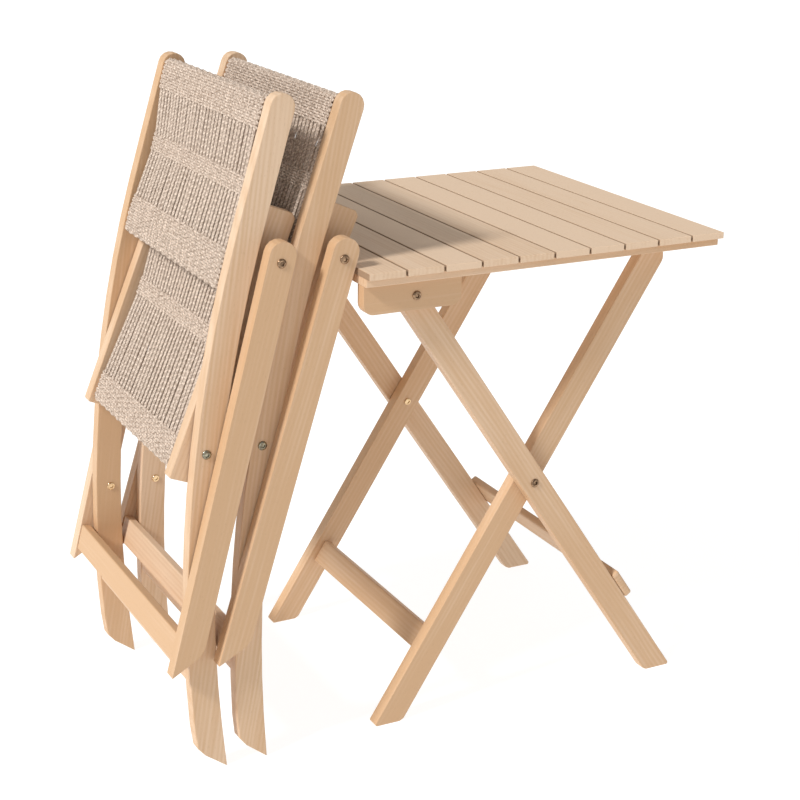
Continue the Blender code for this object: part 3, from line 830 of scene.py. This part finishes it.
class Panel:
    """The place and directions of one woven panel, between a low bar and a high bar."""

    def __init__(self, low_bar, high_bar, waist_share):
        low_end = np.array(centre(low_bar))
        high_end = np.array(centre(high_bar))
        low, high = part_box(high_bar)
        self.half_wide = (high[1] - low[1]) / 2
        self.start = low_end
        self.length = float(np.linalg.norm(high_end - low_end))
        self.along = (high_end - low_end) / self.length
        self.out = np.array([-self.along[2], 0, self.along[0]])
        self.waist = self.length * waist_share
        self.line, self.distance = self.loop()
        self.round = self.distance[-1]

    def face_out(self, distance):
        """How far a face stands from the middle plane, at a distance along the panel."""
        knots = [BAR_HALF_WIDE, self.waist - WAIST_HALF_LONG, self.waist + WAIST_HALF_LONG,
                 self.length - BAR_HALF_WIDE]
        return np.interp(distance, knots, [LAYER_OUT, WAIST_OUT, WAIST_OUT, LAYER_OUT])

    def loop(self):
        """Points of the closed loop, from the waist of the front face over the high bar, down
        the rear face and round the low bar, and the distance round it to each."""
        high_turn = self.length + END_OUT - END_CORNER
        low_turn = END_CORNER - END_OUT
        up = np.linspace(self.waist, high_turn, FACE_POINTS)
        down = np.linspace(low_turn, self.waist, FACE_POINTS)
        rear = np.concatenate([down, up])[::-1]
        bend = np.radians(np.linspace(0, 90, CORNER_POINTS))
        beyond = END_CORNER * np.sin(bend)
        inwards = LAYER_OUT - END_CORNER + END_CORNER * np.cos(bend)
        parts = [(up, self.face_out(up)),
                 (high_turn + beyond, inwards),
                 ((high_turn + beyond)[::-1], -inwards[::-1]),
                 (rear, -self.face_out(rear)),
                 (low_turn - beyond, -inwards),
                 ((low_turn - beyond)[::-1], inwards[::-1]),
                 (down, self.face_out(down))]
        line = np.concatenate([np.stack(part, 1) for part in parts])
        apart = np.linalg.norm(np.diff(line, axis=0, append=line[:1]), axis=1) > TOO_CLOSE
        line = line[apart]
        line = np.vstack([line, line[:1]])
        steps = np.linalg.norm(np.diff(line, axis=0), axis=1)
        return line, np.concatenate([[0], np.cumsum(steps)])

    def at(self, travel):
        """Position along the panel and out from its middle plane, at a travel."""
        travel = np.asarray(travel) % self.round
        flat = [np.interp(travel, self.distance, self.line[:, axis]) for axis in (0, 1)]
        return np.stack(flat, -1)

    def on_loop(self, travel):
        """Position in the panel's side view and the outward normal there, at a travel."""
        forward = self.at(travel + SLOPE_STEP) - self.at(travel - SLOPE_STEP)
        forward /= np.linalg.norm(forward, axis=-1, keepdims=True)
        return self.at(travel), np.stack([-forward[..., 1], forward[..., 0]], -1)

    def narrow(self, distance):
        """The panel's width there, as a share of its full width."""
        knots = [BAR_HALF_WIDE, self.waist, self.length - BAR_HALF_WIDE]
        return np.interp(distance, knots, [1, 1 - WAIST_DRAW / self.half_wide, 1])

    def world(self, place, normal, lift, across):
        """Points and normals of the set, lifted off the loop and set across the panel."""
        lifted = place + lift[:, None] * normal
        points = self.start + lifted[:, :1] * self.along + lifted[:, 1:] * self.out
        points[:, 1] = across
        normals = normal[:, :1] * self.along + normal[:, 1:] * self.out
        return points, normals


# %% The four panels' loops
BAR_PAIRS = {"back": ("lower_back_bar", "top_bar"), "seat": ("seat_rear_bar", "seat_front_bar")}
WAIST_SHARE = {"back": 0.54, "seat": 0.5}

PANELS = {}
for chair in CHAIRS:
    for part, (low_bar, high_bar) in BAR_PAIRS.items():
        panel = Panel(f"{chair}_{low_bar}", f"{chair}_{high_bar}", WAIST_SHARE[part])
        PANELS[f"{chair}_{part}"] = panel
for name, panel in PANELS.items():
    print(f"{name}: bars {panel.length * 1000:.0f} mm apart, loop {panel.round * 1000:.0f} mm")

# %% [markdown]
# ## Where the rows are
#
# Each panel has four woven bands: one round each bar, and one on each face at the waist. A
# band could be given by heights on the panel, but it goes round a bar. So it is given as
# travels round the loop, from where it starts to where it ends.

# %% Woven bands


def travel_at(panel, distance, face):
    """Travel round the loop to a distance along the panel on the front (1) or rear (-1)."""
    on_face = np.sign(panel.line[:, 1]) == face
    miss = np.where(on_face, abs(panel.line[:, 0] - distance), panel.round)
    return float(panel.distance[int(np.argmin(miss))])


def band_spans(panel, low_long, high_long):
    """Start and end travel of the woven bands: waist front and rear, high end, low end."""
    high_edge = panel.length + BAR_HALF_WIDE - high_long
    low_edge = low_long - BAR_HALF_WIDE
    rear_waist = travel_at(panel, panel.waist, -1)
    return {"waist_front": (-WAIST_HALF_LONG, WAIST_HALF_LONG),
            "waist_rear": (rear_waist - WAIST_HALF_LONG, rear_waist + WAIST_HALF_LONG),
            "high": (travel_at(panel, high_edge, 1), travel_at(panel, high_edge, -1)),
            "low": (travel_at(panel, low_edge, -1), travel_at(panel, low_edge, 1))}


BAND_LONG = {"back": (0.052, 0.041), "seat": (0.042, 0.042)}
SPANS = {}
for name, panel in PANELS.items():
    SPANS[name] = band_spans(panel, *BAND_LONG[name.rsplit("_", 1)[1]])
    lengths = [f"{band} {(end - start) * 1000:.0f}" for band, (start, end) in SPANS[name].items()]
    print(f"{name} bands in mm:", ", ".join(lengths))

# %% [markdown]
# ## Pairs of cord
#
# In a plain weave each row passes over one pair and under the next, and the row after it does
# the opposite. The pairs bend the other way at every row. Both are the same wave, so the rows
# and the pairs share one pitch and one phase and really do interlace. Between the bands the
# pairs are free: they wander a little, as hand-wound cord does.

# %% How the pairs lie
PAIR_PITCH = 0.0121
PAIR_SPLIT = 0.00195
PAIR_WAVE = 0.0010
PAIR_STEP = 0.0016
PAIR_LEAN = 0.0009
CORD_STRAY = 0.0002
ROW_PITCH = 0.0037
SIDE_SPACE = 0.0030
BAND_FADE = 0.003
BAND_START = 0.6
cord_chance = np.random.default_rng(21)


def pair_wave(panel, travel, spans, pair):
    """How far a pair is pushed out or in by the rows at each travel."""
    lift = np.zeros_like(travel)
    for start, end in spans.values():
        past = (travel - start) % panel.round
        inside = np.clip(np.minimum(past, (end - start) - past) / BAND_FADE + BAND_START, 0, 1)
        lift -= inside * PAIR_WAVE * (-1) ** pair * np.cos(np.pi * past / ROW_PITCH)
    return lift


def offset_pairs(panel, place, pitch):
    """How far pairs stand aside: half a pitch apart on the two faces, so that each face's
    pairs show through the other's gaps."""
    beyond_bars = (place[:, 0] < 0) | (place[:, 0] > panel.length)
    on_faces = np.sign(place[:, 1])
    over_ends = np.clip(place[:, 1] / LAYER_OUT, -1, 1)
    return np.where(beyond_bars, over_ends, on_faces) * -pitch / 4


def wound_pairs(panel, spans):
    """Closed loops of cord, two for each pair, right across the panel."""
    room = panel.half_wide - SIDE_SPACE
    count = int(round((2 * room - PAIR_PITCH / 2) / PAIR_PITCH))
    pitch = 2 * room / (count + 0.5)
    half = count * pitch / 2
    travel = np.arange(0, panel.round, PAIR_STEP)
    place, normal = panel.on_loop(travel)
    aside = offset_pairs(panel, place, pitch)
    knots = [0, panel.waist / 2, panel.waist, (panel.waist + panel.length) / 2, panel.length]
    cords = []
    for pair in range(count):
        middle = -half + (pair + 0.5) * pitch
        lean = cord_chance.normal(0, PAIR_LEAN, 2)
        slack = np.interp(place[:, 0], knots, [0, lean[0], 0, lean[1], 0])
        for split in (-1, 1):
            stray = float(cord_chance.normal(0, CORD_STRAY))
            spot = middle + split * PAIR_SPLIT + stray + aside
            across = spot * panel.narrow(place[:, 0]) + slack
            lift = pair_wave(panel, travel, spans, pair)
            points, normals = panel.world(place, normal, lift, across)
            cords.append((points, normals, True, float(cord_chance.uniform(0, 1))))
    return cords, pitch, half


print(f"pairs {PAIR_PITCH * 1000:.1f} mm apart, their cords {PAIR_SPLIT * 2000:.1f} mm apart")

# %% [markdown]
# ## Rows
#
# A band's rows are one long cord. It runs across the panel, turns back at the edge and becomes
# the next row, as it does on the loom. On the way it rises over one pair and dips under the
# next, and the next row does the opposite.

# %% How the rows lie
ROW_WAVE = 0.0018
ROW_STEP = 0.0018
WAVE_FLAT = 1.5
EDGE_LOOP = 0.0010
EDGE_TURN = 0.004
FEWEST_ROWS = 3


def woven_rows(panel, span, pitch, half):
    """One cord that goes back and forth across the pairs along a span of the loop."""
    start, end = span
    rows = max(FEWEST_ROWS, int(round((end - start) / ROW_PITCH)) + 1)
    edge = half + EDGE_LOOP
    swing = np.linspace(-1, 1, int(2 * edge / ROW_STEP))
    turn = np.clip((abs(swing) * edge - edge + EDGE_TURN) / EDGE_TURN, 0, 1) ** 2
    drift = turn * ROW_PITCH / 2 * np.where(swing < 0, -1, 1)
    points = []
    normals = []
    for row in range(rows):
        heading = 1 if row % 2 == 0 else -1
        place, normal = panel.on_loop(start + row * ROW_PITCH + drift)
        from_middle = heading * swing * edge
        across = from_middle + offset_pairs(panel, place, pitch)
        pairs_passed = (from_middle + half) / pitch - 0.5
        wave = np.clip(WAVE_FLAT * np.cos(np.pi * pairs_passed), -1, 1)
        lift = ROW_WAVE * (-1) ** row * wave
        made, out = panel.world(place, normal, lift, across * panel.narrow(place[:, 0]))
        points.append(made)
        normals.append(out)
    return np.concatenate(points), np.concatenate(normals)


print(f"rows {ROW_PITCH * 1000:.1f} mm apart, {ROW_WAVE * 1000:.1f} mm over and under the pairs")

# %% [markdown]
# ## Winding the panels
#
# The pairs of a panel make two pieces, its near and its far half, and each band of rows makes
# one. They ride on the body that holds the panel's bars, and take the place of the packed
# slab, so a panel moves with its chair.

# %% The four panels
for name, panel in PANELS.items():
    cords, pitch, half = wound_pairs(panel, SPANS[name])
    middle = len(cords) // 2
    made = [cord_piece(f"{name}_pairs_near", cords[:middle], melange_cord),
            cord_piece(f"{name}_pairs_far", cords[middle:], melange_cord)]
    for band, span in SPANS[name].items():
        line, normals = woven_rows(panel, span, pitch, half)
        rows = [(line, normals, False, 0.0)]
        made.append(cord_piece(f"{name}_rows_{band}", rows, melange_cord))
    for piece in made:
        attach(piece, name)
        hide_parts(f"{name}_weave")
    print(f"{name}: {len(cords)} cords, {sum(len(piece.data.polygons) for piece in made)} faces")
